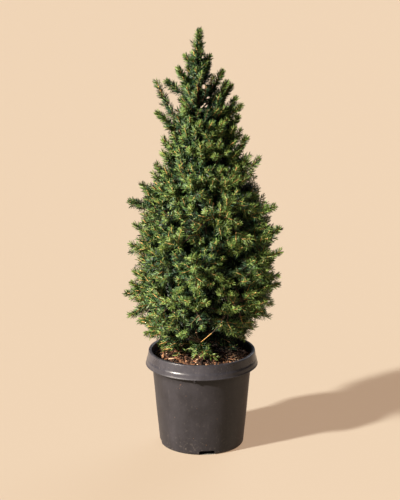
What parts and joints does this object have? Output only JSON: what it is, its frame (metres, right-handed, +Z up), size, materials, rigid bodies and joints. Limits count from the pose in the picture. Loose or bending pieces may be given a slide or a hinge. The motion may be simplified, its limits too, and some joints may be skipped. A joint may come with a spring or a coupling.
{
  "type": "potted alberta spruce",
  "caption": "Dwarf conical spruce with a single trunk, short boughs and dense needle foliage, growing in a round plastic nursery pot topped with bark mix.",
  "frame": {"origin": "centre of the flat underside of the pot, on the surface that it stands on", "axes": "+Z up along the pot's axis, +X to the right and -Y towards the viewer in the front view"},
  "size_m": [0.3628, 0.344, 0.981],
  "materials": {
    "pot_plastic": "satin",
    "bark_mix": "matte",
    "bark": "matte",
    "foliage": "matte"
  },
  "bodies": {
    "root": {"pot": "pot_plastic", "soil": "bark_mix", "trunk": "bark", "bough_skirt_1": "bark", "foliage_skirt_1": "foliage", "bough_skirt_2": "bark", "foliage_skirt_2": "foliage", "bough_skirt_3": "bark", "foliage_skirt_3": "foliage", "bough_skirt_4": "bark", "foliage_skirt_4": "foliage", "bough_skirt_5": "bark", "foliage_skirt_5": "foliage", "bough_low_1": "bark", "foliage_low_1": "foliage", "bough_low_2": "bark", "foliage_low_2": "foliage", "bough_low_3": "bark", "foliage_low_3": "foliage", "bough_low_4": "bark", "foliage_low_4": "foliage", "bough_low_5": "bark", "foliage_low_5": "foliage", "bough_middle_1": "bark", "foliage_middle_1": "foliage", "bough_middle_2": "bark", "foliage_middle_2": "foliage", "bough_middle_3": "bark", "foliage_middle_3": "foliage", "bough_middle_4": "bark", "foliage_middle_4": "foliage", "bough_middle_5": "bark", "foliage_middle_5": "foliage", "bough_waist_1": "bark", "foliage_waist_1": "foliage", "bough_waist_2": "bark", "foliage_waist_2": "foliage", "bough_waist_3": "bark", "foliage_waist_3": "foliage", "bough_waist_4": "bark", "foliage_waist_4": "foliage", "foliage_shoulder_1": "foliage", "foliage_shoulder_2": "foliage", "foliage_shoulder_3": "foliage", "foliage_shoulder_4": "foliage", "foliage_upper_1": "foliage", "foliage_upper_2": "foliage", "foliage_upper_3": "foliage", "foliage_upper_4": "foliage", "foliage_crest_1": "foliage", "foliage_crest_2": "foliage", "foliage_crest_3": "foliage", "foliage_crest_4": "foliage", "foliage_leader": "foliage", "shoot_left_high": "foliage", "shoot_left_second": "foliage", "shoot_left_middle": "foliage", "spray_low_left": "foliage", "spray_low_front": "foliage"}
  },
  "joints": []
}
